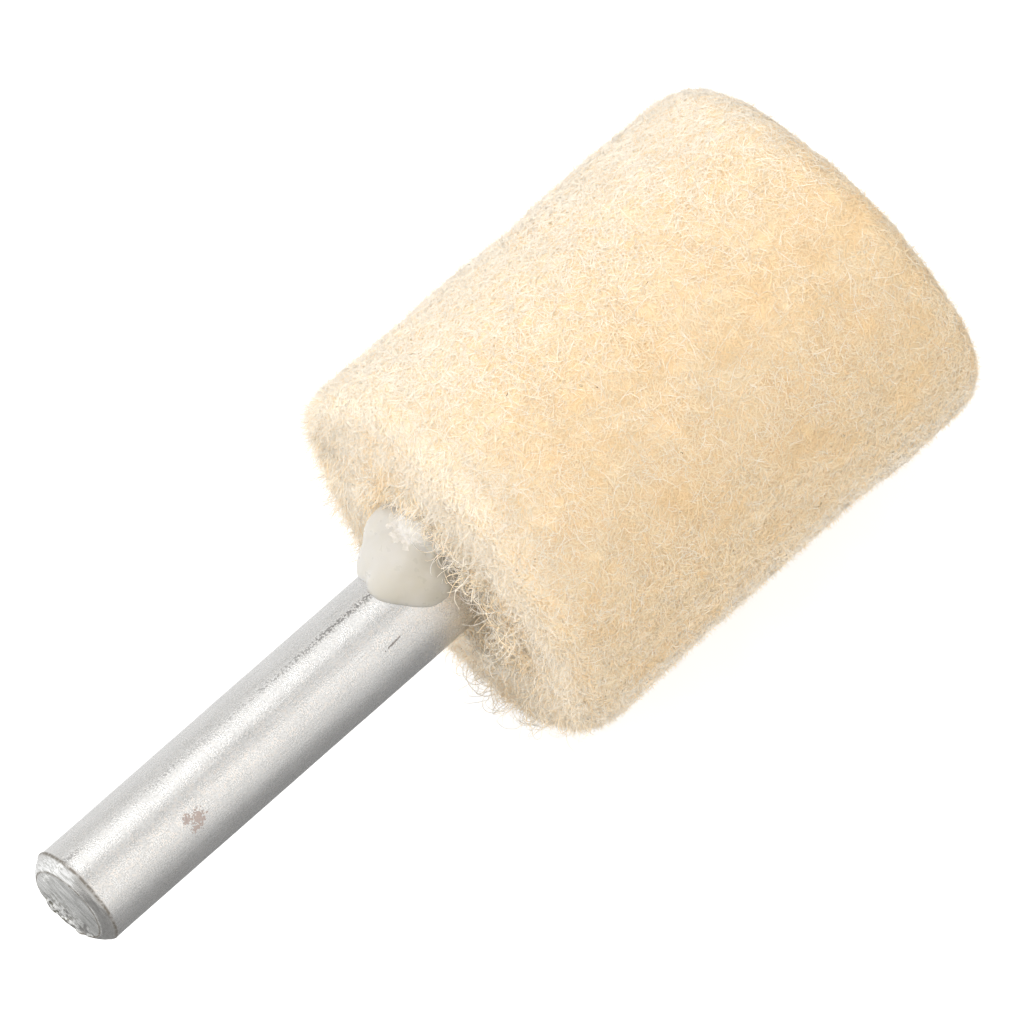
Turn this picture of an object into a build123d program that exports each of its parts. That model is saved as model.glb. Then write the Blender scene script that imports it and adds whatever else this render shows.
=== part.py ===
from build123d import *
from math import atan, cos, degrees, radians, sin
import os

# A felt bob: a mounted polishing wheel of pressed wool felt, glued to a plain steel shank.
# The spin axis is Y. The origin is on that axis, in the plane of the felt's shank-side face.
# The shank points towards -Y, the felt's free nose towards +Y, and +Z is up. Millimetres.

# Felt head
HEAD_DIAMETER = 25.0
HEAD_LENGTH = 30.0
ROOT_EDGE_RADIUS = 2.2  # worn round at the shank-side rim
NOSE_EDGE_RADIUS = 2.6  # worn rounder at the free end

# Blind bore in the felt, with the shallow conical crater torn open round its mouth
BORE_DIAMETER = 6.75
BORE_DEPTH = 25.0
CRATER_DIAMETER = 12.4
CRATER_DEPTH = 1.2

# Steel shank
SHANK_DIAMETER = 6.35  # quarter-inch stock
SHANK_EXPOSED = 30.0
TIP_CHAMFER = 0.65
CHUCKING_END = 6.0  # the ground length stops this far short of the felt
STOCK_RELIEF = 0.025  # what the last few millimetres lose in radius, where the grinding runs out

# The shank's buried end, turned down and grooved so that the glue keys into it
KEY_DIAMETER = 5.8
KEY_END_GAP = 1.0  # glue below the end of the shank
KEY_CHAMFER = 0.5
GROOVE_COUNT = 5
GROOVE_RADIUS = 0.4
GROOVE_PITCH = 4.0

# Bead of glue squeezed out of the bore: an oblate dome that straddles the root of the shank
BEAD_SPREAD = 3.7  # half its width, along and across the shank
BEAD_RISE = 2.4  # half its height, out from the shank
BEAD_RIM_RADIUS = 1.5  # its rounded rim, seen in section
BEAD_FROM_AXIS = 3.0
BEAD_FROM_FACE = 1.1
BEAD_SIDE_ANGLE = 24.0  # degrees from +Z, towards -X

# Worked out from the above
HEAD_RADIUS = HEAD_DIAMETER / 2
BORE_RADIUS = BORE_DIAMETER / 2
CRATER_RADIUS = CRATER_DIAMETER / 2
SHANK_RADIUS = SHANK_DIAMETER / 2
KEY_RADIUS = KEY_DIAMETER / 2
KEY_END = BORE_DEPTH - KEY_END_GAP
FIRST_GROOVE = CRATER_DEPTH + GROOVE_PITCH
CRATER_ANGLE = 2 * degrees(atan((CRATER_RADIUS - BORE_RADIUS) / CRATER_DEPTH))

# The bead's section is a wide crown arc that runs on smoothly into the arc of its rim
RIM_CENTRE = BEAD_SPREAD - BEAD_RIM_RADIUS
CROWN_RADIUS = (BEAD_SPREAD * (BEAD_SPREAD - 2 * BEAD_RIM_RADIUS) + BEAD_RISE**2) / (
    2 * (BEAD_RISE - BEAD_RIM_RADIUS)
)
CROWN_ANGLE = degrees(atan(RIM_CENTRE / (CROWN_RADIUS - BEAD_RISE)))

# The felt's shank-side face, looking out along the shank, so that a hole goes into the felt
ROOT_FACE = Plane(origin=(0, 0, 0), z_dir=(0, -1, 0))
BORE_MOUTH = ROOT_FACE.offset(-CRATER_DEPTH)

# Shank: one turned piece, drawn as a half profile of radius against distance along the axis
with BuildPart() as shank:
    with BuildSketch(Plane.XY):
        with BuildLine():
            Polyline(
                (0, -SHANK_EXPOSED),
                (SHANK_RADIUS - TIP_CHAMFER, -SHANK_EXPOSED),
                (SHANK_RADIUS, -SHANK_EXPOSED + TIP_CHAMFER),
                (SHANK_RADIUS, -CHUCKING_END),
                (SHANK_RADIUS - STOCK_RELIEF, CRATER_DEPTH),
                (KEY_RADIUS, CRATER_DEPTH),
                (KEY_RADIUS, KEY_END - KEY_CHAMFER),
                (KEY_RADIUS - KEY_CHAMFER, KEY_END),
                (0, KEY_END),
                close=True,
            )
        make_face()
    revolve(axis=Axis.Y)
    # Round-bottomed rings round the buried end
    with BuildSketch(Plane.XY):
        with Locations([(KEY_RADIUS, FIRST_GROOVE + n * GROOVE_PITCH) for n in range(GROOVE_COUNT)]):
            Circle(GROOVE_RADIUS)
    revolve(axis=Axis.Y, mode=Mode.SUBTRACT)

# Felt head: a solid cylinder of felt with rounded rims, drilled blind from the shank side
with BuildPart() as felt_head:
    with BuildSketch(ROOT_FACE):
        Circle(HEAD_RADIUS)
    extrude(amount=-HEAD_LENGTH)
    fillet(felt_head.edges().filter_by(GeomType.CIRCLE).sort_by(Axis.Y)[0], radius=ROOT_EDGE_RADIUS)
    fillet(felt_head.edges().filter_by(GeomType.CIRCLE).sort_by(Axis.Y)[-1], radius=NOSE_EDGE_RADIUS)
    with Locations(ROOT_FACE):
        CounterSinkHole(
            radius=BORE_RADIUS,
            counter_sink_radius=CRATER_RADIUS,
            depth=BORE_DEPTH,
            counter_sink_angle=CRATER_ANGLE,
        )

# Bore adhesive: the cured glue that fills the bore round and below the shank's buried end
with BuildPart() as bore_adhesive:
    with BuildSketch(BORE_MOUTH):
        Circle(BORE_RADIUS)
    extrude(amount=-(BORE_DEPTH - CRATER_DEPTH))
    add(shank.part, mode=Mode.SUBTRACT)

# Glue bead: half an oval turned about the line that runs out from the shank's axis, cut off
# at the mouth of the bore, where it joins the glue inside, and back to the shank and the felt
outwards = Vector(-sin(radians(BEAD_SIDE_ANGLE)), 0, cos(radians(BEAD_SIDE_ANGLE)))
bead_centre = outwards * BEAD_FROM_AXIS - Vector(0, BEAD_FROM_FACE, 0)
bead_plane = Plane(origin=bead_centre, x_dir=(0, -1, 0), z_dir=Vector(0, -1, 0).cross(outwards))

with BuildPart() as glue_bead:
    with BuildSketch(bead_plane):
        with BuildLine():
            CenterArc((0, BEAD_RISE - CROWN_RADIUS), CROWN_RADIUS, 90 - CROWN_ANGLE, CROWN_ANGLE)
            CenterArc((RIM_CENTRE, 0), BEAD_RIM_RADIUS, 0, 90 - CROWN_ANGLE)
            mirror(about=Plane.XZ)
            Line((0, BEAD_RISE), (0, -BEAD_RISE))
        make_face()
    revolve(axis=Axis(bead_centre, outwards))
    split(bisect_by=BORE_MOUTH, keep=Keep.TOP)
    add(shank.part, mode=Mode.SUBTRACT)
    add(felt_head.part, mode=Mode.SUBTRACT)

shank.part.label = "shank"
felt_head.part.label = "felt_head"
bore_adhesive.part.label = "bore_adhesive"
glue_bead.part.label = "glue_bead"

os.makedirs("parts", exist_ok=True)
export_step(shank.part, "parts/shank.step")
export_step(felt_head.part, "parts/felt_head.step")
export_step(bore_adhesive.part, "parts/bore_adhesive.step")
export_step(glue_bead.part, "parts/glue_bead.step")
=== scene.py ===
"""The looks of a felt polishing bob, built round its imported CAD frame.

Everything is modelled in millimetres in the row frame, and turned into metres as each mesh is made:
the spin axis is Y, the shank points towards -Y, the felt's nose towards +Y, and +Z is up.
"""

import math

import bpy
import numpy as np
from mathutils import Matrix, Vector


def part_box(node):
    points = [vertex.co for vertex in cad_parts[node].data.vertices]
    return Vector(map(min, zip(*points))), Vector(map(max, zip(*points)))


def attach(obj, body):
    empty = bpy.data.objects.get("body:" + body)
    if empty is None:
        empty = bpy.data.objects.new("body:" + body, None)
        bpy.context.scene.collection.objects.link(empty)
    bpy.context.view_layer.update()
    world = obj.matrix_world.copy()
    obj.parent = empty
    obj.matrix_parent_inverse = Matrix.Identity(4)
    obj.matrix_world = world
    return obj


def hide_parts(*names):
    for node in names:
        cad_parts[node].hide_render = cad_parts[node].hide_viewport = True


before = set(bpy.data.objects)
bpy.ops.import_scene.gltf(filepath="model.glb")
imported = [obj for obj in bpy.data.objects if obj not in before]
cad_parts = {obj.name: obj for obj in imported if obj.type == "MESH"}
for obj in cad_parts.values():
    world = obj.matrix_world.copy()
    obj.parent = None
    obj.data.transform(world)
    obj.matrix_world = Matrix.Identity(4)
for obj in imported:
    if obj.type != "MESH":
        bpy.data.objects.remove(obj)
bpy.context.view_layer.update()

MM = 0.001

# ---------------------------------------------------------------- sizes, from the frame

felt_low, felt_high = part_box("felt_head")
shank_low, shank_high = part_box("shank")
FELT_RADIUS = felt_high.x / MM
FELT_LENGTH = felt_high.y / MM
SHANK_RADIUS = shank_high.x / MM
SHANK_TIP = shank_low.y / MM
SHANK_END = shank_high.y / MM
NAP_UNDER = 0.15  # the nap holds the felt this far off the floor
FLOOR_HEIGHT = felt_low.z / MM - NAP_UNDER

# The felt's worn shape. Its nap stands a little proud of the CAD solid.
ROOT_FACE = -0.45
NOSE_FACE = FELT_LENGTH + 0.1
ROOT_EDGE = 2.1
NOSE_EDGE = 2.15
CRATER_RADIUS = 5.6  # the torn mouth of the bore
CRATER_FLOOR = 1.3
NOSE_SKEW = 0.066  # the nose was cut this much out of square

# ---------------------------------------------------------------- where the camera stands

CAMERA_AZIMUTH = math.radians(46.64)
CAMERA_ELEVATION = math.radians(68.14)
CAMERA_DISTANCE = 650.0
CAMERA_AIM = Vector((0.19, 4.64, 1.22))
PIXELS_PER_MM = 17.52
FRAME_PIXELS = 1024

RIGHT = Vector((math.cos(CAMERA_AZIMUTH), math.sin(CAMERA_AZIMUTH), 0))
BACK = Vector(
    (
        math.sin(CAMERA_AZIMUTH) * math.cos(CAMERA_ELEVATION),
        -math.cos(CAMERA_AZIMUTH) * math.cos(CAMERA_ELEVATION),
        math.sin(CAMERA_ELEVATION),
    )
)
UP = BACK.cross(RIGHT)
# Square to the spin axis: straight out towards the camera's side, and across the view
SPIN_AXIS = Vector((0, 1, 0))
ACROSS = BACK.cross(SPIN_AXIS).normalized()
OUTWARD = SPIN_AXIS.cross(ACROSS)
OUTWARD_TURN = 90 - 16.26  # how far round the axis OUTWARD is from +X, in degrees

# The shank's tip, with its chamfer worn round
CHAMFER_IN = 0.72  # how far the chamfer reaches in from the shank's side
CHAMFER_EDGE = 0.72  # how far its dirty outer edge is from the end, along the shank
CHAMFER_BACK = 0.76  # how far it reaches along the shank
# It was sawn off out of square: how far its end face and the chamfer's edge stand back
TIP_SETBACK, TIP_SLANT = 0.36, OUTWARD * 0.13 - ACROSS * 0.045
EDGE_SETBACK, EDGE_SLANT = 0.42, OUTWARD * 0.05 - ACROSS * 0.015


# ---------------------------------------------------------------- noise and meshes


def noise(points, cell, seed):
    """Smooth noise from -1 to 1, with lumps about cell millimetres across, one value a point."""
    place = np.asarray(points, float) / cell + 4096.0
    corner_low = np.floor(place)
    share = place - corner_low
    share = share * share * (3 - 2 * share)
    corner_low = corner_low.astype(np.uint64)
    primes = np.array([73856093, 19349663, 83492791], np.uint64)
    total = np.zeros(place.shape[:-1])
    for corner in np.ndindex(2, 2, 2):
        key = ((corner_low + np.array(corner, np.uint64)) * primes).sum(-1)
        key = key + np.uint64(seed * 2654435761)
        key ^= key >> np.uint64(15)
        key *= np.uint64(2246822519)
        key ^= key >> np.uint64(13)
        key *= np.uint64(3266489917)
        key ^= key >> np.uint64(16)
        value = (key & np.uint64(0xFFFF)).astype(float) / 32767.5 - 1
        weight = np.prod(np.where(corner, share, 1 - share), axis=-1)
        total += weight * value
    return total


def smooth_step(value, low, high):
    t = np.clip((value - low) / (high - low), 0, 1)
    return t * t * (3 - 2 * t)


def mesh_piece(name, points, faces, materials, face_material=None):
    """A smooth-shaded mesh object from points in millimetres, and faces with one number of corners."""
    points = np.asarray(points, float).reshape(-1, 3) * MM
    faces = np.asarray(faces, np.int32)
    count, corners = faces.shape
    mesh = bpy.data.meshes.new(name)
    mesh.vertices.add(len(points))
    mesh.vertices.foreach_set("co", points.astype(np.float32).ravel())
    mesh.loops.add(count * corners)
    mesh.loops.foreach_set("vertex_index", faces.ravel())
    mesh.polygons.add(count)
    mesh.polygons.foreach_set("loop_start", np.arange(0, count * corners, corners, dtype=np.int32))
    mesh.polygons.foreach_set("use_smooth", np.ones(count, bool))
    for material in materials:
        mesh.materials.append(material)
    if face_material is not None:
        mesh.polygons.foreach_set("material_index", np.asarray(face_material, np.int32))
    mesh.update(calc_edges=True)
    mesh.validate()
    piece = bpy.data.objects.new(name, mesh)
    bpy.context.scene.collection.objects.link(piece)
    return piece


def ring_faces(rings, around):
    """Quads between each ring of points and the next, where every ring closes on itself."""
    ring, step = np.meshgrid(np.arange(rings - 1), np.arange(around), indexing="ij")
    after = (step + 1) % around
    here, following = ring * around, (ring + 1) * around
    return np.stack((here + step, following + step, following + after, here + after), -1).reshape(-1, 4)


def arc(radius_at, y_at, radius, start, stop, count=24):
    """Points (radius, y) on an arc about a centre, from one angle to another in degrees."""
    angles = np.radians(np.linspace(start, stop, count))
    return [(radius_at + radius * math.cos(a), y_at + radius * math.sin(a)) for a in angles]


def resample(profile, spacing):
    """The profile's points again, evenly spaced along it."""
    profile = np.array(profile, float)
    along = np.concatenate([[0], np.cumsum(np.linalg.norm(np.diff(profile, axis=0), axis=1))])
    at = np.linspace(0, along[-1], int(round(along[-1] / spacing)) + 1)
    return np.stack([np.interp(at, along, profile[:, 0]), np.interp(at, along, profile[:, 1])], 1)


# ---------------------------------------------------------------- materials


class Nodes:
    """Builds one material's node tree, with its Principled shader ready."""

    def __init__(self, name):
        self.material = bpy.data.materials.new(name)
        self.material.use_nodes = True
        self.tree = self.material.node_tree
        self.shader = next(n for n in self.tree.nodes if n.type == "BSDF_PRINCIPLED")
        self.place = self.add("ShaderNodeTexCoord").outputs["Object"]

    def add(self, kind, inputs=(), **properties):
        """A node with these properties, its inputs set to values or linked to outputs."""
        node = self.tree.nodes.new(kind)
        for key, value in properties.items():
            setattr(node, key, value)
        for key, value in dict(inputs).items():
            if isinstance(value, bpy.types.NodeSocket):
                self.tree.links.new(value, node.inputs[key])
            else:
                node.inputs[key].default_value = value
        return node

    def set(self, **values):
        """Sets or links the shader's own sockets, named with underscores for spaces."""
        for key, value in values.items():
            socket = self.shader.inputs[key.replace("_", " ")]
            if isinstance(value, bpy.types.NodeSocket):
                self.tree.links.new(value, socket)
            else:
                socket.default_value = value

    def stretched(self, lumps, turn=(0, 0, 0)):
        """Coordinates for noise whose lumps have these sizes in millimetres along turned axes."""
        scale = tuple(size * MM for size in lumps)
        inputs = {"Vector": self.place, "Rotation": tuple(math.radians(t) for t in turn), "Scale": scale}
        return self.add("ShaderNodeMapping", inputs, vector_type="TEXTURE").outputs["Vector"]

    def noise(self, cell, detail=2.0, vector=None, distortion=0.0):
        """Noise with lumps about cell millimetres across, from 0 to 1."""
        inputs = {
            "Vector": vector or self.place,
            "Scale": 1 / (cell * MM) if vector is None else 1 / cell,
            "Detail": detail,
            "Distortion": distortion,
        }
        return self.add("ShaderNodeTexNoise", inputs).outputs["Fac"]

    def ramp(self, factor, stops, interpolation="LINEAR"):
        """A colour ramp: stops are (position, grey value or RGB)."""
        node = self.add("ShaderNodeValToRGB", {"Fac": factor})
        node.color_ramp.interpolation = interpolation
        elements = node.color_ramp.elements
        while len(elements) < len(stops):
            elements.new(0.5)
        for element, (position, colour) in zip(elements, stops):
            element.position = position
            element.color = (*colour, 1) if isinstance(colour, tuple) else (colour, colour, colour, 1)
        return node.outputs["Color"]

    def mix(self, factor, first, second, blend="MIX"):
        """The second colour over the first, by this factor."""
        node = self.tree.nodes.new("ShaderNodeMix")
        node.data_type = "RGBA"
        node.blend_type = blend
        for place, value in ((0, factor), (6, first), (7, second)):
            if isinstance(value, bpy.types.NodeSocket):
                self.tree.links.new(value, node.inputs[place])
            else:
                node.inputs[place].default_value = (*value, 1) if isinstance(value, tuple) else value
        return node.outputs[2]

    def maths(self, operation, first, second=0.0, clamp=False):
        node = self.add("ShaderNodeMath", {0: first, 1: second}, operation=operation, use_clamp=clamp)
        return node.outputs[0]

    def bump(self, height, distance, strength=1.0, under=None):
        """A bump of this depth in millimetres, over another bump if one is given."""
        inputs = {"Height": height, "Distance": distance * MM, "Strength": strength}
        if under is not None:
            inputs["Normal"] = under
        return self.add("ShaderNodeBump", inputs).outputs["Normal"]

    def spot(self, centre, half, turn=(0, 0, 0), cell=0.12, ragged=1.0):
        """1 inside a ragged spot of these half sizes about a point, in millimetres, and 0 outside it."""
        inputs = {
            "Vector": self.place,
            "Location": tuple(Vector(centre) * MM),
            "Rotation": tuple(math.radians(t) for t in turn),
            "Scale": tuple(size * MM for size in half),
        }
        place = self.add("ShaderNodeMapping", inputs, vector_type="TEXTURE").outputs["Vector"]
        away = self.add("ShaderNodeVectorMath", {0: place}, operation="LENGTH").outputs["Value"]
        inputs = {"Value": self.noise(cell, 3), "From Min": 0.3, "From Max": 0.7}
        inputs |= {"To Min": 1 - ragged, "To Max": 1 + ragged}
        edge = self.add("ShaderNodeMapRange", inputs).outputs["Result"]
        return self.maths("LESS_THAN", away, edge)

    def along(self, direction):
        """How far each point lies along this direction, in metres."""
        inputs = {0: self.place, 1: tuple(direction)}
        return self.add("ShaderNodeVectorMath", inputs, operation="DOT_PRODUCT").outputs["Value"]

    def from_axis(self):
        """How far each point is from the spin axis, in metres."""
        inputs = {0: self.place, 1: (1, 0, 1)}
        place = self.add("ShaderNodeVectorMath", inputs, operation="MULTIPLY").outputs[0]
        return self.add("ShaderNodeVectorMath", {0: place}, operation="LENGTH").outputs["Value"]

    def graph(self, value, low, high, stops):
        """Greys read off a ramp as the value goes from low to high, in millimetres."""
        inputs = {"Value": value, "From Min": low * MM, "From Max": high * MM}
        return self.ramp(self.add("ShaderNodeMapRange", inputs).outputs["Result"], stops)


def felt_material():
    """Matted wool seen between the nap's fibres: warm cream, blotched with straw, and a few specks."""
    n = Nodes("wool_felt")
    mats = []
    for turn in ((20, 0, 35), (-35, 50, 80), (75, 15, -30), (10, -60, 120)):
        mats.append(n.noise(1, 1, n.stretched((0.10, 0.8, 0.10), turn), 0.4))
    matted = n.maths("MAXIMUM", n.maths("MAXIMUM", mats[0], mats[1]), n.maths("MAXIMUM", mats[2], mats[3]))
    cream = n.ramp(n.noise(3.6, 3), [(0.35, (0.97, 0.73, 0.45)), (0.65, (0.98, 0.79, 0.54))])
    straw = n.ramp(n.noise(1.2, 2), [(0.60, 0.0), (0.72, 0.5)])
    colour = n.mix(straw, cream, (0.95, 0.67, 0.35))
    # Painted shade: the colour is darker in the hollows between the matted fibres
    hollow_shade = n.ramp(matted, [(0.52, (0.95, 0.90, 0.82)), (0.70, (1, 1, 1))])
    colour = n.mix(0.8, colour, hollow_shade, "MULTIPLY")
    # The root end is paler, and paler still towards the key light's side, where the paleness is painted light
    pale_root_and_painted_light = n.graph(n.along(SPIN_AXIS), -1.0, 5.0, [(0.0, 0.75), (0.35, 0.6), (1.0, 0.0)])
    pale_root_and_painted_light = n.maths("MULTIPLY", pale_root_and_painted_light, n.graph(n.along(ACROSS), -8, 4, [(0.0, 0.2), (1.0, 1.0)]))
    colour = n.mix(pale_root_and_painted_light, colour, (0.98, 0.86, 0.70))
    # Round the mouth of the bore it is torn open; the darker colour there is painted shade in that hollow,
    # deeper on the side away from the key light
    torn = n.graph(n.from_axis(), 4.2, 6.6, [(0.0, 0.8), (0.5, 0.65), (1.0, 0.0)])
    torn = n.maths("MULTIPLY", torn, n.graph(n.along(ACROSS), -2, 5, [(0.0, 1.0), (1.0, 0.25)]))
    outside = n.graph(n.along(SPIN_AXIS), -1.0, 3.0, [(0.0, 1.0), (0.8, 1.0), (1.0, 0.0)])
    colour = n.mix(n.maths("MULTIPLY", torn, outside), colour, (0.60, 0.50, 0.34))
    specks = n.add("ShaderNodeTexVoronoi", {"Vector": n.place, "Scale": 1 / (2.6 * MM)})
    speck = n.ramp(specks.outputs["Distance"], [(0.035, 0.75), (0.05, 0.0)])
    colour = n.mix(speck, colour, (0.45, 0.36, 0.24))
    n.set(Base_Color=colour, Roughness=0.95, Sheen_Weight=0.8, Sheen_Roughness=0.4)
    n.set(Sheen_Tint=(1.0, 0.98, 0.95, 1), Specular_IOR_Level=0.15)
    n.set(Subsurface_Weight=0.3, Subsurface_Radius=(1.0, 0.75, 0.5), Subsurface_Scale=0.5 * MM)
    n.set(Normal=n.bump(matted, 0.06, 0.8))
    return n.material


def fibre_material(name, colour, roughness=0.75):
    """One shade of wool fibre. The shades are mixed fibre by fibre."""
    n = Nodes(name)
    n.set(Base_Color=(*colour, 1), Roughness=roughness, Specular_IOR_Level=0.15)
    n.set(Sheen_Weight=0.9, Sheen_Roughness=0.38, Sheen_Tint=(1.0, 0.98, 0.95, 1))
    return n.material


def mill_scale(n, across, outward, axial):
    """How much scale there is along a line on the key light's side, in patches."""
    on_line = n.graph(across, 1.55, 2.35, [(0.0, 0.0), (0.45, 1.0), (0.6, 1.0), (1.0, 0.0)])
    facing = n.maths("GREATER_THAN", outward, 0.0)
    stops = [(0.0, 0.9), (0.08, 0.85), (0.12, 0.1), (0.24, 0.1)]
    stops += [(0.3, 0.75), (0.4, 0.6), (0.5, 0.5), (0.8, 1.0)]
    patches = n.graph(axial, -30, -3, stops)
    return n.maths("MULTIPLY", n.maths("MULTIPLY", on_line, facing), patches)


def rust_spots(n):
    """1 on a few small spots of rust, and 0 elsewhere."""
    rust = None
    for across, outward, axial, half in (
        (-1.15, 2.96, -21.3, (0.42, 0.42, 0.42)),
        (-0.8, 3.07, -21.9, (0.25, 0.25, 0.25)),
        (-1.5, 2.8, -21.7, (0.15, 0.3, 0.15)),
    ):
        spot = n.spot(ACROSS * across + OUTWARD * outward + SPIN_AXIS * axial, half)
        rust = spot if rust is None else n.maths("MAXIMUM", rust, spot)
    return rust


def steel_material():
    """Bright bare steel: drawn along its length, finely speckled, scaled in a line, and a little rusted."""
    n = Nodes("shank_steel")
    across, outward, axial = n.along(ACROSS), n.along(OUTWARD), n.along(SPIN_AXIS)
    drawn = n.noise(1, 3, n.stretched((0.14, 2.9, 0.14)))
    tone = n.ramp(n.noise(3.0, 4), [(0.3, (0.60, 0.595, 0.58)), (0.7, (0.69, 0.685, 0.67))])
    tone = n.mix(n.ramp(drawn, [(0.4, 0.0), (0.7, 0.5)]), tone, (0.50, 0.49, 0.47))
    streaks = n.noise(1, 2, n.stretched((0.7, 11.0, 0.7)))
    tone = n.mix(n.ramp(streaks, [(0.45, 0.0), (0.65, 0.45)]), tone, (0.55, 0.545, 0.53))
    speckle = n.noise(0.08, 2)
    tone = n.mix(n.ramp(speckle, [(0.35, 0.0), (0.65, 0.8)]), tone, (0.84, 0.835, 0.825))
    # Warm specks all over, and more of them in the band where the warm overhead light is mirrored: there they
    # are a painted reflection
    warm_reflection_band = n.graph(across, -1.8, 1.0, [(0.0, 0.3), (0.25, 0.8), (0.7, 0.8), (1.0, 0.3)])
    warm = n.maths("MULTIPLY", n.ramp(n.noise(0.16, 2), [(0.50, 0.0), (0.66, 0.9)]), warm_reflection_band)
    tone = n.mix(warm, tone, (0.82, 0.76, 0.70))
    scale = mill_scale(n, across, outward, axial)
    flakes = n.maths("ADD", n.noise(0.13, 3), n.maths("MULTIPLY", scale, 0.17))
    flakes = n.ramp(flakes, [(0.62, 0.0), (0.68, 1.0)])
    scaled = n.maths("MULTIPLY", flakes, scale, True)
    tone = n.mix(scaled, tone, (0.22, 0.215, 0.21))
    rust = rust_spots(n)
    tone = n.mix(n.maths("MULTIPLY", rust, 0.6), tone, (0.24, 0.13, 0.09))
    at_scratch = ACROSS * -1.0 + OUTWARD * 3.01 + SPIN_AXIS * -6.1
    scratch = n.spot(at_scratch, (0.045, 0.62, 0.3), (0, 16, 6), 0.1, 0.7)
    tone = n.mix(n.maths("MULTIPLY", scratch, 0.8), tone, (0.16, 0.14, 0.13))
    # The chamfer is streaked by grinding, and on the key light's side carries a painted highlight
    ground = n.noise(1, 3, n.stretched((1.2, 0.09, 0.3), (0, 16, 0)))
    from_end = n.along(SPIN_AXIS - TIP_SLANT)
    from_edge = n.along(SPIN_AXIS - EDGE_SLANT)
    end = SHANK_TIP + TIP_SETBACK
    edge = SHANK_TIP + CHAMFER_EDGE + EDGE_SETBACK
    past_end = n.graph(from_end, end + 0.04, end + 0.05, [(0.0, 0.0), (1.0, 1.0)])
    short_of_edge = n.graph(from_edge, edge - 0.1, edge - 0.09, [(0.0, 1.0), (1.0, 0.0)])
    on_chamfer = n.maths("MULTIPLY", past_end, short_of_edge)
    lit = [(0.0, 0.0), (0.12, 1.0), (0.7, 1.0), (0.85, 0.2)]
    lit_side = n.graph(n.maths("ADD", across, n.maths("MULTIPLY", ground, 0.8 * MM)), 0.9, 3.9, lit)
    facet = n.ramp(ground, [(0.35, (0.55, 0.54, 0.52)), (0.7, (0.70, 0.69, 0.67))])
    # Painted highlight: near-white on the key light's side of the chamfer
    bright = n.ramp(ground, [(0.4, (0.66, 0.66, 0.64)), (0.55, (0.98, 0.98, 0.97))])
    facet = n.mix(lit_side, facet, bright)
    tone = n.mix(on_chamfer, tone, facet)
    # The end face is rough from the saw and pitted towards one side, and painted glints brighten its lower
    # side
    on_end = n.graph(from_end, end - 0.2, end + 0.06, [(0.0, 1.0), (0.9, 1.0), (1.0, 0.0)])
    sawn = n.ramp(ground, [(0.35, (0.56, 0.56, 0.54)), (0.65, (0.97, 0.97, 0.95))])
    low_side = n.graph(outward, -2.2, 0.4, [(0.0, 1.0), (1.0, 0.0)])
    middle = n.graph(across, -1.8, 1.6, [(0.0, 0.2), (0.35, 1.0), (0.8, 1.0), (1.0, 0.1)])
    pits = n.maths("MULTIPLY", n.ramp(n.noise(0.24, 3), [(0.50, 0.0), (0.56, 1.0)]), low_side)
    pits = n.maths("MULTIPLY", pits, middle)
    # Painted highlight: glints on the end face's lower side
    glint_side = n.graph(across, -2.2, 1.4, [(0.0, 1.0), (0.6, 1.0), (1.0, 0.0)])
    glint_side = n.maths("MULTIPLY", glint_side, low_side)
    glints = n.maths("MULTIPLY", n.ramp(n.noise(0.2, 3), [(0.45, 0.2), (0.55, 1.0)]), glint_side)
    sawn = n.mix(glints, sawn, (0.99, 0.99, 0.97))
    tone = n.mix(on_end, tone, n.mix(pits, sawn, (0.16, 0.15, 0.105)))
    # Both edges of the chamfer are burred and dirty
    line = [(0.0, 0.0), (0.35, 1.0), (0.6, 1.0), (1.0, 0.0)]
    outer_edge = n.graph(from_edge, edge - 0.17, edge + 0.13, line)
    at_tip = n.graph(from_end, end - 0.2, end + 0.12, [(0.0, 1.0), (0.9, 1.0), (1.0, 0.0)])
    line = [(0.0, 0.0), (0.4, 1.0), (0.7, 1.0), (1.0, 0.0)]
    inner_edge = n.graph(n.from_axis(), SHANK_RADIUS - 0.84, SHANK_RADIUS - 0.64, line)
    edges = n.maths("MAXIMUM", outer_edge, n.maths("MULTIPLY", inner_edge, at_tip))
    edges = n.maths("MULTIPLY", edges, n.ramp(n.noise(0.22, 3), [(0.3, 0.4), (0.55, 1.0)]))
    tone = n.mix(edges, tone, (0.20, 0.18, 0.155))
    # Dirt, rust and scale are rougher and less metallic than the steel
    dull = n.maths("MAXIMUM", n.maths("MAXIMUM", rust, scratch), scaled)
    dull = n.maths("MAXIMUM", dull, n.maths("MULTIPLY", edges, 0.6))
    metal = n.maths("SUBTRACT", 1.0, n.maths("MULTIPLY", dull, 0.6))
    matt_end = n.maths("MULTIPLY", n.maths("ADD", glints, 0.3), on_end)
    metal = n.maths("SUBTRACT", metal, n.maths("MULTIPLY", matt_end, 0.35), True)
    rough = n.ramp(n.noise(0.8, 4), [(0.3, 0.20), (0.75, 0.34)])
    rough = n.maths("ADD", rough, n.maths("MULTIPLY", dull, 0.3))
    lines = n.noise(1, 2, n.stretched((0.11, 8.0, 0.11), (0, 0, 4)))
    normal = n.bump(n.ramp(lines, [(0.62, 1.0), (0.72, 0.0)]), 0.006, 0.7)
    normal = n.bump(n.maths("SUBTRACT", speckle, n.maths("MULTIPLY", dull, 0.8)), 0.03, 0.45, normal)
    n.set(Base_Color=tone, Metallic=metal, Roughness=rough, Normal=normal)
    return n.material


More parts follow.
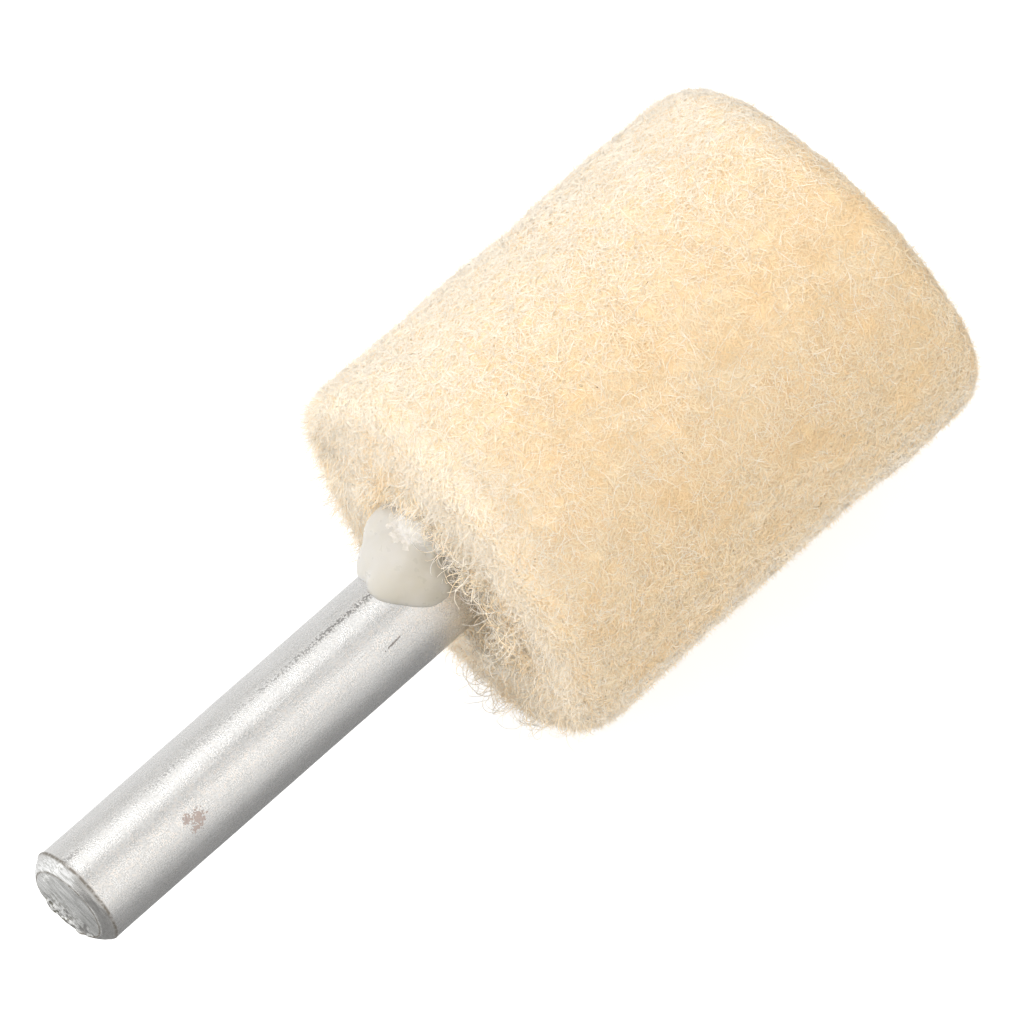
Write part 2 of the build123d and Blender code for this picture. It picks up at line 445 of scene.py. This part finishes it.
def glue_material(name, milky):
    """Cured glue: milky, glossy and lit from inside, with whiter clouds where it holds fine bubbles."""
    n = Nodes(name)
    clouds = n.ramp(n.noise(1.6, 2, distortion=0.3), [(0.4, milky), (0.75, (0.50, 0.475, 0.43))])
    # It is paler towards the key light's side: painted light
    thin = n.graph(n.along(ACROSS), 0.6, 3.0, [(0.0, 0.0), (1.0, 0.8)])
    clouds = n.mix(thin, clouds, (0.50, 0.48, 0.445))
    # A rough whitish patch on top: partly froth in the glue, partly a painted highlight
    froth_and_highlight = n.spot(SPIN_AXIS * -1.15 + ACROSS * 4.0 + OUTWARD * 4.2, (1.75, 1.35, 1.8), (0, 0, 0), 0.6, 0.2)
    grain = n.ramp(n.noise(0.35, 3), [(0.4, (0.56, 0.53, 0.48)), (0.65, (0.66, 0.625, 0.58))])
    colour = n.mix(froth_and_highlight, clouds, grain)
    gloss = n.ramp(n.noise(0.6, 3), [(0.3, 0.26), (0.7, 0.42)])
    n.set(Base_Color=colour, Roughness=n.maths("MAXIMUM", gloss, n.maths("MULTIPLY", froth_and_highlight, 0.45)))
    n.set(Subsurface_Weight=0.7, Subsurface_Radius=(1.0, 0.9, 0.7), Subsurface_Scale=1.0 * MM)
    n.set(Specular_IOR_Level=0.5, IOR=1.48, Coat_Weight=0.2, Coat_Roughness=0.15)
    rough = n.maths("MULTIPLY", n.noise(0.22, 3), froth_and_highlight)
    n.set(Normal=n.bump(rough, 0.16, 0.8, n.bump(n.noise(0.7, 2), 0.03, 0.5)))
    return n.material


# ---------------------------------------------------------------- the felt's skin

AROUND = 360  # points round the skin
SKIN_SPACING = 0.2
SKIN_DEPTH = 0.06  # how far the matted surface lies under the nap's roots


def felt_profile():
    """The felt's half section, from the bore's mouth over the root face, side and nose to the axis."""
    profile = [(SHANK_RADIUS - 0.25, CRATER_FLOOR + 0.5), (SHANK_RADIUS + 0.2, CRATER_FLOOR)]
    profile += [(CRATER_RADIUS - 0.6, ROOT_FACE + 0.35), (CRATER_RADIUS + 0.2, ROOT_FACE - 0.1)]
    profile += [(CRATER_RADIUS + 1.2, ROOT_FACE)]
    profile += arc(FELT_RADIUS - ROOT_EDGE, ROOT_FACE + ROOT_EDGE, ROOT_EDGE, -90, 0)
    profile += arc(FELT_RADIUS - NOSE_EDGE, NOSE_FACE - NOSE_EDGE, NOSE_EDGE, 0, 90)
    profile += [(0.02, NOSE_FACE)]
    return resample(profile, SKIN_SPACING)


PROFILE = felt_profile()
SKIN_LENGTH = (len(PROFILE) - 1) * SKIN_SPACING
RIM_START = float(np.argmax(PROFILE[:, 0] > FELT_RADIUS - ROOT_EDGE)) * SKIN_SPACING


def normals_of(grid):
    """Outward normals of a grid of points: rings along the first axis, closed along the second."""
    along = np.gradient(grid, axis=0)
    around = np.roll(grid, -1, axis=1) - np.roll(grid, 1, axis=1)
    normal = np.cross(along, around)
    return normal / np.maximum(np.linalg.norm(normal, axis=-1, keepdims=True), 1e-9)


def felt_skin():
    """The displaced skin as a grid of points, with the normals of that grid."""
    angle = np.linspace(0, 2 * np.pi, AROUND, endpoint=False)
    radius, y = (PROFILE[:, i, None] * np.ones(AROUND) for i in (0, 1))
    grid = np.stack([radius * np.cos(angle), y, radius * np.sin(angle)], -1)
    across = grid @ np.array(ACROSS)
    grid[..., 1] -= NOSE_SKEW * across * smooth_step(grid[..., 1], 0, FELT_LENGTH)
    # On one side the root face is worn back, up to a corner that sticks out
    on_rim = smooth_step(radius, 6.5, 11.5) * (1 - smooth_step(y, 0.5, 5))
    grid[..., 1] += on_rim * (0.5 * smooth_step(across, 3, 9) - 0.55 * smooth_step(across, 9, 12.5))
    # The nose is a little hollow in the middle
    on_nose = smooth_step(y, FELT_LENGTH - 3, FELT_LENGTH)
    grid[..., 1] -= 0.08 * on_nose * (1 - smooth_step(abs(across), 6, 12))
    normal = normals_of(grid)
    lumps = 0.15 * noise(grid, 7.5, 1) + 0.13 * noise(grid, 3.1, 2)
    lumps += 0.07 * noise(grid, 1.3, 3)
    # It is worn to a slight waist, more on one side
    waist = np.sin(np.pi * np.clip(grid[..., 1], 0, FELT_LENGTH) / FELT_LENGTH) ** 2
    lumps -= waist * (0.04 + 0.20 * smooth_step(-across, 5, 12)) * (radius > FELT_RADIUS - 2)
    torn = smooth_step(radius, 3.4, 4.6) * (1 - smooth_step(radius, 5.6, 7.8)) * (y < 3)
    torn *= 0.25 + 0.75 * smooth_step(-across, -3, 3)
    lumps += torn * (0.15 + 0.28 * noise(grid, 1.6, 5) + 0.16 * noise(grid, 0.6, 6))
    lumps *= smooth_step(radius, 0, 1.5)
    grid = grid + normal * lumps[..., None]
    grid[..., 2] = np.maximum(grid[..., 2], FLOOR_HEIGHT + 0.02)
    return grid, normals_of(grid)


SKIN, SKIN_NORMAL = felt_skin()


def on_skin(along, angle):
    """The skin's point and normal at distances along the profile and angles round it."""
    row = np.clip(along / SKIN_SPACING, 0, len(PROFILE) - 1.001)
    column = (angle / (2 * np.pi) * AROUND) % AROUND
    row_low, column_low = row.astype(int), column.astype(int) % AROUND
    row_share, column_share = (row - row_low)[..., None], (column - np.floor(column))[..., None]
    column_high = (column_low + 1) % AROUND
    found = []
    for grid in (SKIN, SKIN_NORMAL):
        low = grid[row_low, column_low] * (1 - column_share) + grid[row_low, column_high] * column_share
        high = grid[row_low + 1, column_low] * (1 - column_share)
        high = high + grid[row_low + 1, column_high] * column_share
        found.append(low * (1 - row_share) + high * row_share)
    return found[0], found[1] / np.linalg.norm(found[1], axis=-1, keepdims=True)


# ---------------------------------------------------------------- fibres

FELT_SHADING = 0.7  # how far a fibre takes the light as the felt under it does, rather than as a rod


def roots(rng, count, low, high, angles=(0, 2 * np.pi)):
    """Places on the skin, evenly spread over its area between two distances along the profile."""
    rows = np.arange(int(low / SKIN_SPACING), int(high / SKIN_SPACING))
    weight = PROFILE[rows, 0] / PROFILE[rows, 0].sum()
    along = (rng.choice(rows, count, p=weight) + rng.random(count)) * SKIN_SPACING
    return along, rng.uniform(*angles, count)


def grow(rng, along, angle, length, lift, steps, curl, standing=0.0, sink=0.03):
    """Paths of fibres that run over the skin, each as steps + 1 points.

    A fibre wanders by curl radians a step. It leaves the skin by up to lift: a lying one comes down
    again, and a standing one, with standing near 1, ends at its highest.
    """
    count = len(along)
    heading = rng.uniform(0, 2 * np.pi, count)
    bend = rng.normal(0, curl, count)
    step = length / steps
    points = np.empty((count, steps + 1, 3))
    for k in range(steps + 1):
        t = k / steps
        rise = (1 - standing) * math.sin(math.pi * t) + standing * t**1.3
        height = lift * rise - sink * (1 - t * standing)
        point, normal = on_skin(along, angle)
        points[:, k] = point + normal * height[:, None]
        radius = np.maximum(np.hypot(point[:, 0], point[:, 2]), 1.0)
        along = np.clip(along + step * np.sin(heading), 0, SKIN_LENGTH)
        angle = angle + step * np.cos(heading) / radius
        heading += bend + rng.normal(0, curl * 0.5, count)
    points[..., 2] = np.maximum(points[..., 2], FLOOR_HEIGHT + 0.03)
    return points


def wander(rng, start, heading, length, steps, curl, straying=0.1):
    """Paths of fibres that leave the felt from these points, each curling at curl radians a millimetre."""
    start, heading = np.array(start, float), np.array(heading, float)
    count = len(start)
    heading /= np.linalg.norm(heading, axis=-1, keepdims=True)
    axis = np.cross(heading, rng.normal(size=(count, 3)))
    axis /= np.linalg.norm(axis, axis=-1, keepdims=True)
    points = np.empty((count, steps + 1, 3))
    step = (length / steps)[:, None]
    for k in range(steps + 1):
        points[:, k] = start
        start = start + heading * step
        heading = heading + np.cross(axis, heading) * curl[:, None] * step
        heading += rng.normal(0, straying, (count, 3))
        heading /= np.linalg.norm(heading, axis=-1, keepdims=True)
    points[..., 2] = np.maximum(points[..., 2], FLOOR_HEIGHT + 0.03)
    return points


def tubes(paths, thickness, taper=0.6, sides=3):
    """Thin tubes along the paths, narrowing towards their ends: points and quads."""
    count, knots = paths.shape[:2]
    ahead = np.gradient(paths, axis=1)
    ahead /= np.maximum(np.linalg.norm(ahead, axis=-1, keepdims=True), 1e-9)
    side = np.cross(ahead, np.array([0.31, 0.17, 0.93]))
    side /= np.maximum(np.linalg.norm(side, axis=-1, keepdims=True), 1e-9)
    up = np.cross(side, ahead)
    t = np.linspace(0, 1, knots)
    width = thickness[:, None] / 2 * (1 - taper * t**2)
    ring = 2 * np.pi * np.arange(sides) / sides
    offset = side[:, :, None] * np.cos(ring)[:, None] + up[:, :, None] * np.sin(ring)[:, None]
    points = paths[:, :, None] + offset * width[:, :, None, None]
    quads = ring_faces(knots, sides)
    faces = quads[None] + (np.arange(count) * knots * sides)[:, None, None]
    return points.reshape(-1, 3), faces.reshape(-1, 4), offset.reshape(-1, 3)


def fibre_piece(rng, name, paths, facing, thickness, shades, odds, paleness=1.0, shading=FELT_SHADING):
    """One piece of many fibres, each in one of the shades, and shaded mostly as the felt it lies on.

    In blotches, more of them are straw-coloured. More of them are pale towards the root end's rim, most on
    the key light's side; that side bias, the paleness over the whole key light's side, and the paleness along
    the opposite edge are painted light and sheen.
    """
    points, faces, around = tubes(paths, thickness)
    shade = rng.choice(len(shades), len(paths), p=odds)
    blotch = smooth_step(noise(paths[:, 0], 1.3, 51) + 0.5 * noise(paths[:, 0], 5.0, 52), 0.35, 0.75) * 0.75
    shade[rng.random(len(paths)) < blotch] = min(2, len(odds) - 1)
    root = paths[:, 0]
    sides = root @ np.array(ACROSS)
    pale_root_and_painted_light = (1 - smooth_step(root[:, 1], 0.0, 5.0)) * smooth_step(np.hypot(root[:, 0], root[:, 2]), 6.8, 8.4)
    # The root end's paleness leans towards the key light's side: painted light
    pale_root_and_painted_light *= 0.15 + 0.5 * smooth_step(sides, -7, 3)
    # Painted light: more pale fibres over the key light's side
    pale_root_and_painted_light = np.maximum(pale_root_and_painted_light, 0.8 * smooth_step(sides, 1.0, 11.5))
    # Painted sheen: more pale fibres along the opposite edge
    pale_root_and_painted_light = np.maximum(pale_root_and_painted_light, 0.6 * smooth_step(-sides, 11.2, 12.5))
    shade[rng.random(len(paths)) < pale_root_and_painted_light * paleness] = 0
    piece = mesh_piece(name, points, faces, shades, np.repeat(shade, len(faces) // len(paths)))
    normals = np.repeat(facing, len(points) // len(paths), axis=0) * shading + around * (1 - shading)
    normals /= np.linalg.norm(normals, axis=-1, keepdims=True)
    piece.data.normals_split_custom_set_from_vertices(normals)
    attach(piece, "root")
    return piece


def felt_head():
    """The solid felt, with its matted skin."""
    rings = len(PROFILE)
    under = SKIN - SKIN_NORMAL * SKIN_DEPTH
    piece = mesh_piece("felt_head_visual", under, ring_faces(rings, AROUND), [felt_material()])
    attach(piece, "root")
    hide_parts("felt_head")
    return piece


def wool_shades():
    """The fibres' materials: pale, cream, straw, tan, and a darker olive one that is painted shade for the
    gaps between fibres.
    """
    pale = fibre_material("fibre_pale", (0.99, 0.89, 0.74))
    cream = fibre_material("fibre_cream", (0.99, 0.81, 0.56))
    straw = fibre_material("fibre_straw", (0.98, 0.73, 0.43))
    tan = fibre_material("fibre_tan", (0.88, 0.63, 0.38))
    return [pale, cream, straw, tan, fibre_material("fibre_olive_shade", (0.60, 0.50, 0.34))]


def layer(
    rng, name, shades, odds, parts, count, start, stop, length, lift, thickness, steps, curl, standing,
    shading=FELT_SHADING,
):
    """Pieces of one kind of fibre, each with as many, from start along the skin to stop short of its end."""
    for part in range(parts):
        along, angle = roots(rng, count, start, SKIN_LENGTH - stop)
        lifts = rng.uniform(*lift, count)
        paths = grow(rng, along, angle, rng.uniform(*length, count), lifts, steps, curl, standing)
        facing = on_skin(along, angle)[1]
        thick = rng.uniform(*thickness, count)
        fibre_piece(rng, f"{name}_{part + 1}", paths, facing, thick, shades, odds, shading=shading)


def felt_fibres(shades):
    """The nap: matted fibres, short raised ones, fine fuzz, longer strays, and a few specks of straw."""
    rng = np.random.default_rng(20)
    layer(
        rng, "felt_matted", shades, (0.12, 0.53, 0.3, 0.05, 0), parts=4, count=11000, start=2.0, stop=0.3,
        length=(0.7, 2.2), lift=(0.02, 0.09), thickness=(0.03, 0.055), steps=3, curl=0.5, standing=0.0,
    )
    layer(
        rng, "felt_nap", shades, (0.18, 0.6, 0.2, 0.02, 0), parts=4, count=16600, start=2.0, stop=0.3,
        length=(0.25, 0.9), lift=(0.03, 0.17), thickness=(0.022, 0.038), steps=2, curl=0.5, standing=0.8,
    )
    layer(
        rng, "felt_fuzz", shades, (0.25, 0.6, 0.14, 0.01, 0), parts=3, count=16600, start=RIM_START - 1,
        stop=0.3, length=(0.1, 0.45), lift=(0.10, 0.45), thickness=(0.018, 0.032), steps=2, curl=0.5,
        standing=1.0, shading=0.4,
    )
    layer(
        rng, "felt_strays", shades, (0.28, 0.55, 0.16, 0.01, 0), parts=2, count=3800, start=RIM_START - 2,
        stop=0.5, length=(0.4, 1.3), lift=(0.04, 0.30), thickness=(0.026, 0.044), steps=7, curl=0.42,
        standing=0.4,
    )
    count, lift = 26, 0.06
    along, angle = roots(rng, count, 4.0, SKIN_LENGTH - 0.3)
    lifts = np.full(count, lift)
    paths = grow(rng, along, angle, rng.uniform(0.08, 0.25, count), lifts, 2, 0.3, standing=0.5)
    straw_bits = [fibre_material("straw_specks", (0.30, 0.19, 0.11))]
    facing, thickness = on_skin(along, angle)[1], rng.uniform(0.05, 0.09, count)
    fibre_piece(rng, "felt_specks", paths, facing, thickness, straw_bits, (1.0,), paleness=0)


def fringe(rng, count, rows, turns, length, upright, curl, steps, combed=(0, 0, 0)):
    """Fibres that stand on the felt between two rows of its profile and two turns round it.

    Turns are degrees round the axis from straight out towards the camera. Combed is a direction
    that all the fibres lean in. Gives the fibres' paths, and which way the felt faces at each.
    """
    angles = sorted(math.radians(OUTWARD_TURN + turn) for turn in turns)
    along, angle = roots(rng, count, *rows, angles)
    start, normal = on_skin(along, angle)
    flat = rng.normal(size=(count, 3))
    flat -= normal * (flat * normal).sum(-1, keepdims=True)
    flat /= np.linalg.norm(flat, axis=-1, keepdims=True)
    heading = flat + normal * upright * rng.uniform(0.3, 1.7, (count, 1)) + np.array(combed)
    lengths, curls = rng.uniform(*length, count), rng.uniform(*curl, count)
    return wander(rng, start - normal * 0.05, heading, lengths, steps, curls), normal


def root_fringe(shades):
    """Longer, curlier fibres torn up round the bore, on the root face, and hanging off its rim.

    Each piece has its range of thickness and the odds of each shade, then its groups of fibres.
    """
    rng = np.random.default_rng(7)
    towards_shank, down = np.array(SPIN_AXIS) * -1.0, np.array(ACROSS) * -1.0
    over_bead = towards_shank * 0.9 - np.array(ACROSS + OUTWARD) * 0.5
    half_out, far_out = towards_shank * 0.5, towards_shank * 1.3
    out_and_down, to_floor = towards_shank + down * 0.5, towards_shank + down * 0.9
    rim, every_way = RIM_START, (0, 360)
    on_rim = (rim - 1.0, rim + 3.6)
    # The last of each piece's odds is for the olive fibres, which are painted shade
    pieces = {
        "felt_torn_mouth": (
            ((0.030, 0.058), (0.50, 0.22, 0.08, 0.06, 0.14)),
            fringe(rng, 700, (1.6, 4.4), (105, 260), (0.6, 1.8), 0.7, (1.0, 3.5), 8),
            fringe(rng, 1300, (1.6, 4.6), (-110, 24), (1.2, 3.2), 0.8, (0.7, 3.0), 12),
            fringe(rng, 1000, (3.4, 7.2), (-110, 40), (0.5, 1.7), 0.6, (0.5, 2.4), 8),
            fringe(rng, 1100, (2.4, 5.2), (-10, 105), (0.4, 1.2), 0.3, (0.3, 2.0), 7, over_bead),
        ),
        "felt_root_face": (
            ((0.017, 0.032), (0.50, 0.36, 0.10, 0.04, 0)),
            fringe(rng, 4600, (4.0, rim + 1.0), every_way, (0.4, 1.4), 0.4, (0.4, 1.8), 6, down * 0.5),
            fringe(rng, 5400, (4.4, rim + 0.6), (-120, 80), (0.3, 0.9), 0.5, (0.4, 1.8), 5),
            fringe(rng, 4600, (3.2, rim + 0.6), (75, 200), (0.4, 1.3), 0.15, (0.1, 0.8), 6, down * 0.7),
        ),
        "felt_root_rim": (
            ((0.013, 0.024), (0.5, 0.38, 0.10, 0.02, 0)),
            fringe(rng, 6600, on_rim, every_way, (0.25, 0.75), 0.6, (0.2, 1.8), 5, towards_shank * 0.8),
            fringe(rng, 6600, on_rim, (-100, 170), (0.2, 0.6), 0.6, (0.4, 2.4), 5),
        ),
        "felt_wisps": (
            ((0.020, 0.036), (0.32, 0.34, 0.18, 0.06, 0.10)),
            fringe(rng, 300, (rim - 2.0, rim + 1.4), (-170, -60), (0.9, 2.4), 1.0, (0.3, 2.0), 10, half_out),
            fringe(rng, 560, (rim - 2.2, rim + 1.2), (96, 165), (0.5, 1.8), 0.6, (0.1, 0.7), 8, out_and_down),
            fringe(rng, 420, (rim + 0.2, rim + 2.4), (80, 108), (0.4, 1.3), 0.4, (0.1, 0.9), 8, far_out),
        ),
        "felt_loose_ends": (
            ((0.034, 0.052), (0.62, 0.10, 0.03, 0, 0.25)),
            fringe(rng, 44, (rim - 1.2, rim + 1.4), (-155, -115), (2.0, 4.6), 0.8, (0.8, 1.7), 22, to_floor),
        ),
    }
    for name, (((thin, thick), odds), *groups) in pieces.items():
        for part, (paths, facing) in enumerate(groups):
            widths, title = rng.uniform(thin, thick, len(paths)), f"{name}_{part + 1}"
            fibre_piece(rng, title, paths, facing, widths, shades, odds, paleness=0.6, shading=0.6)


# ---------------------------------------------------------------- shank and glue


def shank_profile():
    """The shank's half section, as turned, from the tip's centre to the buried end's."""
    tip = [(0.02, SHANK_TIP), (SHANK_RADIUS - CHAMFER_IN, SHANK_TIP), (SHANK_RADIUS - 0.5, SHANK_TIP + 0.15)]
    tip += [(SHANK_RADIUS - 0.24, SHANK_TIP + 0.36), (SHANK_RADIUS - 0.07, SHANK_TIP + 0.6)]
    tip += [(SHANK_RADIUS, SHANK_TIP + CHAMFER_BACK), (SHANK_RADIUS, SHANK_TIP + 1.2)]
    body = [(SHANK_RADIUS, SHANK_TIP + 1.2), (SHANK_RADIUS, 2.0), (SHANK_RADIUS - 0.28, 2.2)]
    body += [(SHANK_RADIUS - 0.28, SHANK_END - 0.4), (SHANK_RADIUS - 0.7, SHANK_END), (0.02, SHANK_END)]
    return np.concatenate([resample(tip, 0.06)[:-1], resample(body, 0.25)])


def shank():
    """The steel shank, with its sawn tip, burred chamfer and small dents."""
    around = 220
    profile = shank_profile()
    angle = np.linspace(0, 2 * np.pi, around, endpoint=False)
    radius, y = (profile[:, i, None] * np.ones(around) for i in (0, 1))
    grid = np.stack([radius * np.cos(angle), y, radius * np.sin(angle)], -1)
    normal = normals_of(grid)
    across, outward = grid @ np.array(ACROSS), grid @ np.array(OUTWARD)
    on_tip = smooth_step(radius, 0.1, 0.6) * (1 - smooth_step(y, SHANK_TIP, SHANK_TIP + 0.12))
    on_chamfer = smooth_step(y, SHANK_TIP, SHANK_TIP + 0.2)
    on_chamfer *= 1 - smooth_step(y, SHANK_TIP + 0.5, SHANK_TIP + 0.7)
    on_burr = smooth_step(y, SHANK_TIP + 0.5, SHANK_TIP + 0.68)
    on_burr *= 1 - smooth_step(y, SHANK_TIP + 0.7, SHANK_TIP + 0.95)
    saw_marks = np.sin(outward * 16 + 3 * noise(grid, 1.4, 31)) * noise(grid, 0.9, 45)
    gouge = smooth_step(-0.25 * across - 0.9 * outward + 0.5 * noise(grid, 0.7, 38), 0.6, 1.4)
    end_back = TIP_SETBACK + grid @ np.array(TIP_SLANT)
    edge_back = EDGE_SETBACK + grid @ np.array(EDGE_SLANT)
    back = end_back + (edge_back - end_back) * smooth_step(y, SHANK_TIP, SHANK_TIP + CHAMFER_BACK)
    back *= 1 - smooth_step(y, SHANK_TIP + 0.8, SHANK_TIP + 3)
    rough = on_tip * (0.010 * saw_marks + 0.04 * noise(grid, 0.9, 32))
    rough += on_tip * gouge * (0.07 * noise(grid, 0.28, 33) + 0.06 * noise(grid, 0.6, 39) - 0.03)
    rough += on_chamfer * (0.03 * noise(grid, 0.8, 34) + 0.015 * noise(grid, 0.25, 35))
    rough += on_burr * (0.01 + 0.03 * noise(grid, 0.6, 40))
    rough += on_burr * 0.07 * smooth_step(across / SHANK_RADIUS, 0.86, 0.99) * (outward > -1)
    rough += 0.010 * noise(grid, 2.2, 36) + 0.003 * noise(grid, 0.45, 37)
    rough += 0.009 * noise(grid * (1, 0.12, 1), 0.9, 44) * smooth_step(y, SHANK_TIP + 0.8, SHANK_TIP + 2)
    grid = grid + normal * rough[..., None]
    grid[..., 1] += back
    piece = mesh_piece("shank_visual", grid, ring_faces(len(profile), around), [steel_material()])
    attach(piece, "root")
    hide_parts("shank")
    return piece


# The bead's lobes: each one's centre, as its distance along the axis, degrees round it from straight
# out and distance from it, then its half sizes along the axis, round it and out from it
BEAD_LOBES = (
    ((-1.7, 62, 2.6), (3.1, 2.6, 2.2)),  # the higher lobe, on the key light's side
    ((-1.95, 33, 2.75), (3.25, 2.1, 1.9)),  # the low ridge between them
    ((-1.9, 16, 2.75), (2.5, 1.85, 1.75)),  # the lower one, towards the camera
    ((-1.0, 75, 3.5), (2.3, 2.0, 2.0)),  # where the first runs up the felt
    ((-0.4, 38, 4.0), (1.4, 2.0, 1.7)),  # the skirt between them, on the felt
)
BEAD_MIDDLE = (-1.6, 1.6, 2.3)  # along the axis, across it and outward
BEAD_SHARPNESS = 9.0  # a higher one gives sharper valleys between the lobes


def glue_bead():
    """The squeezed-out glue: two lobes that run together over the root of the shank, and up the felt."""
    axes = np.array([SPIN_AXIS, ACROSS, OUTWARD])
    middle = np.array(BEAD_MIDDLE)
    rings, around = 110, 200
    polar = np.linspace(0.01, np.pi - 0.01, rings)
    turn = np.linspace(0, 2 * np.pi, around, endpoint=False)
    polar, turn = np.meshgrid(polar, turn, indexing="ij")
    ray = np.stack([np.sin(polar) * np.cos(turn), np.sin(polar) * np.sin(turn), np.cos(polar)], -1)
    reach = []
    for (along, degrees, out), half in BEAD_LOBES:
        c, s = math.cos(math.radians(degrees)), math.sin(math.radians(degrees))
        centre = np.array([along, out * s, out * c])
        turned = np.array([[1, 0, 0], [0, c, -s], [0, s, c]]) / np.array(half)[:, None]
        direction, offset = ray @ turned.T, turned @ (middle - centre)
        a = (direction**2).sum(-1)
        b = direction @ offset
        inside = b * b - a * ((offset**2).sum() - 1)
        reach.append(np.where(inside > 0, (-b + np.sqrt(np.maximum(inside, 0))) / a, 0.3))
    reach = np.log(sum(np.exp(BEAD_SHARPNESS * r) for r in reach)) / BEAD_SHARPNESS
    grid = (middle + ray * reach[..., None]) @ axes
    froth_and_highlight = smooth_step(grid[..., 1], -2.4, -1.2) * smooth_step(grid @ np.array(OUTWARD), 3.2, 4.2)
    lumps = 0.05 * noise(grid, 1.3, 41) + 0.02 * noise(grid, 0.6, 42) + froth_and_highlight * 0.09 * noise(grid, 0.45, 43)
    grid += normals_of(grid) * lumps[..., None]
    faces = ring_faces(rings, around)
    piece = mesh_piece("glue_bead_visual", grid, faces, [glue_material("glue", (0.445, 0.415, 0.35))])
    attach(piece, "root")
    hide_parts("glue_bead")
    return piece


def bore_adhesive():
    """The hidden glue keeps its CAD shape, and takes the same kind of material."""
    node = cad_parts["bore_adhesive"]
    node.data.materials.clear()
    node.data.materials.append(glue_material("hidden_glue", (0.60, 0.57, 0.50)))


# ---------------------------------------------------------------- the studio


def floor():
    """A wide, plain, pale floor that glows a little.

    Bright metal mirrors a grey in its place, darker on the side away from the key light, as if dark
    card stood there.
    """
    n = Nodes("floor_paper")
    grain = n.ramp(n.noise(2.0, 3), [(0.3, (0.45, 0.45, 0.447)), (0.7, (0.47, 0.47, 0.467))])
    n.set(Base_Color=grain, Roughness=0.9, Specular_IOR_Level=0.1)
    n.set(Emission_Color=(1, 1, 1, 1), Emission_Strength=0.64)
    path = n.add("ShaderNodeLightPath").outputs["Is Glossy Ray"]
    grey = n.graph(n.along(ACROSS), -80, 20, [(0.0, 0.62), (0.7, 0.34), (0.78, 0.32), (0.86, 0.97)])
    flagged = n.add("ShaderNodeEmission", {"Color": grey, "Strength": 1.0})
    mirrored = n.add("ShaderNodeMixShader", {0: path})
    n.tree.links.new(n.shader.outputs[0], mirrored.inputs[1])
    n.tree.links.new(flagged.outputs[0], mirrored.inputs[2])
    output = next(x for x in n.tree.nodes if x.type == "OUTPUT_MATERIAL")
    n.tree.links.new(mirrored.outputs[0], output.inputs["Surface"])
    half = 1500.0
    corners = [(x * half, y * half, FLOOR_HEIGHT) for x, y in ((-1, -1), (1, -1), (1, 1), (-1, 1))]
    mesh_piece("floor", corners, [(0, 1, 2, 3)], [n.material])


LAMP_DISTANCE = 480
WARM = (1.0, 0.97, 0.93)


def round_from_camera(degrees):
    """The direction this far round the spin axis from the camera, towards the view's upper left."""
    return BACK * math.cos(math.radians(degrees)) + ACROSS * math.sin(math.radians(degrees))


def area_light(name, direction, size, power, colour=(1, 1, 1), mirrored=True):
    """A square soft light that faces the tool from this direction."""
    lamp = bpy.data.lights.new(name, "AREA")
    lamp.shape = "SQUARE"
    lamp.size = size * MM
    lamp.energy = power
    lamp.color = colour
    light = bpy.data.objects.new(name, lamp)
    light.location = (CAMERA_AIM + direction.normalized() * LAMP_DISTANCE) * MM
    light.rotation_euler = direction.to_track_quat("Z", "Y").to_euler()
    light.visible_camera = False
    light.visible_glossy = mirrored
    bpy.context.scene.collection.objects.link(light)


def lights():
    """A pale studio, with a key light on the view's upper left and an overhead one by the camera.

    Only those two softboxes show in the steel: the other lamps spread the rest of the light.
    """
    world = bpy.data.worlds.new("studio")
    bpy.context.scene.world = world
    world.use_nodes = True
    background = world.node_tree.nodes["Background"]
    background.inputs["Color"].default_value = (1.0, 0.995, 0.985, 1)
    background.inputs["Strength"].default_value = 0.86
    towards_key = round_from_camera(50)
    area_light("key_softbox", towards_key, 380, 0.46)
    area_light("key_spill", towards_key - SPIN_AXIS * 0.35, 400, 1.14, mirrored=False)
    area_light("overhead_softbox", round_from_camera(-23), 480, 0.40, (1.0, 0.97, 0.94))
    # A cool wash from the far left edge, and one from the shank's end onto the root face
    area_light("edge_spill", round_from_camera(82), 300, 0.14, (0.85, 0.94, 1.0), mirrored=False)
    towards_root = BACK * 0.35 + ACROSS * 0.6 - SPIN_AXIS
    area_light("root_spill", towards_root, 300, 0.33, mirrored=False)
    # Warm ones from the camera, from beyond the nose, and from the lower right
    area_light("front_spill", BACK, 400, 0.16, WARM, mirrored=False)
    area_light("nose_spill", BACK * 0.6 + SPIN_AXIS, 400, 0.28, WARM, mirrored=False)
    towards_fill = round_from_camera(-60) + SPIN_AXIS * 0.3
    area_light("fill_spill", towards_fill, 400, 0.12, WARM, mirrored=False)


def camera():
    data = bpy.data.cameras.new("camera")
    data.sensor_width = 36.0
    data.lens = PIXELS_PER_MM * CAMERA_DISTANCE * data.sensor_width / FRAME_PIXELS
    data.clip_start = 0.01
    data.clip_end = 20
    holder = bpy.data.objects.new("camera", data)
    turn = Matrix((RIGHT, UP, BACK)).transposed().to_4x4()
    holder.matrix_world = Matrix.Translation((CAMERA_AIM + BACK * CAMERA_DISTANCE) * MM) @ turn
    bpy.context.scene.collection.objects.link(holder)
    bpy.context.scene.camera = holder


camera()
lights()
floor()
felt_head()
shades = wool_shades()
felt_fibres(shades)
root_fringe(shades)
shank()
glue_bead()
bore_adhesive()
bpy.context.scene.view_settings.view_transform = "Standard"
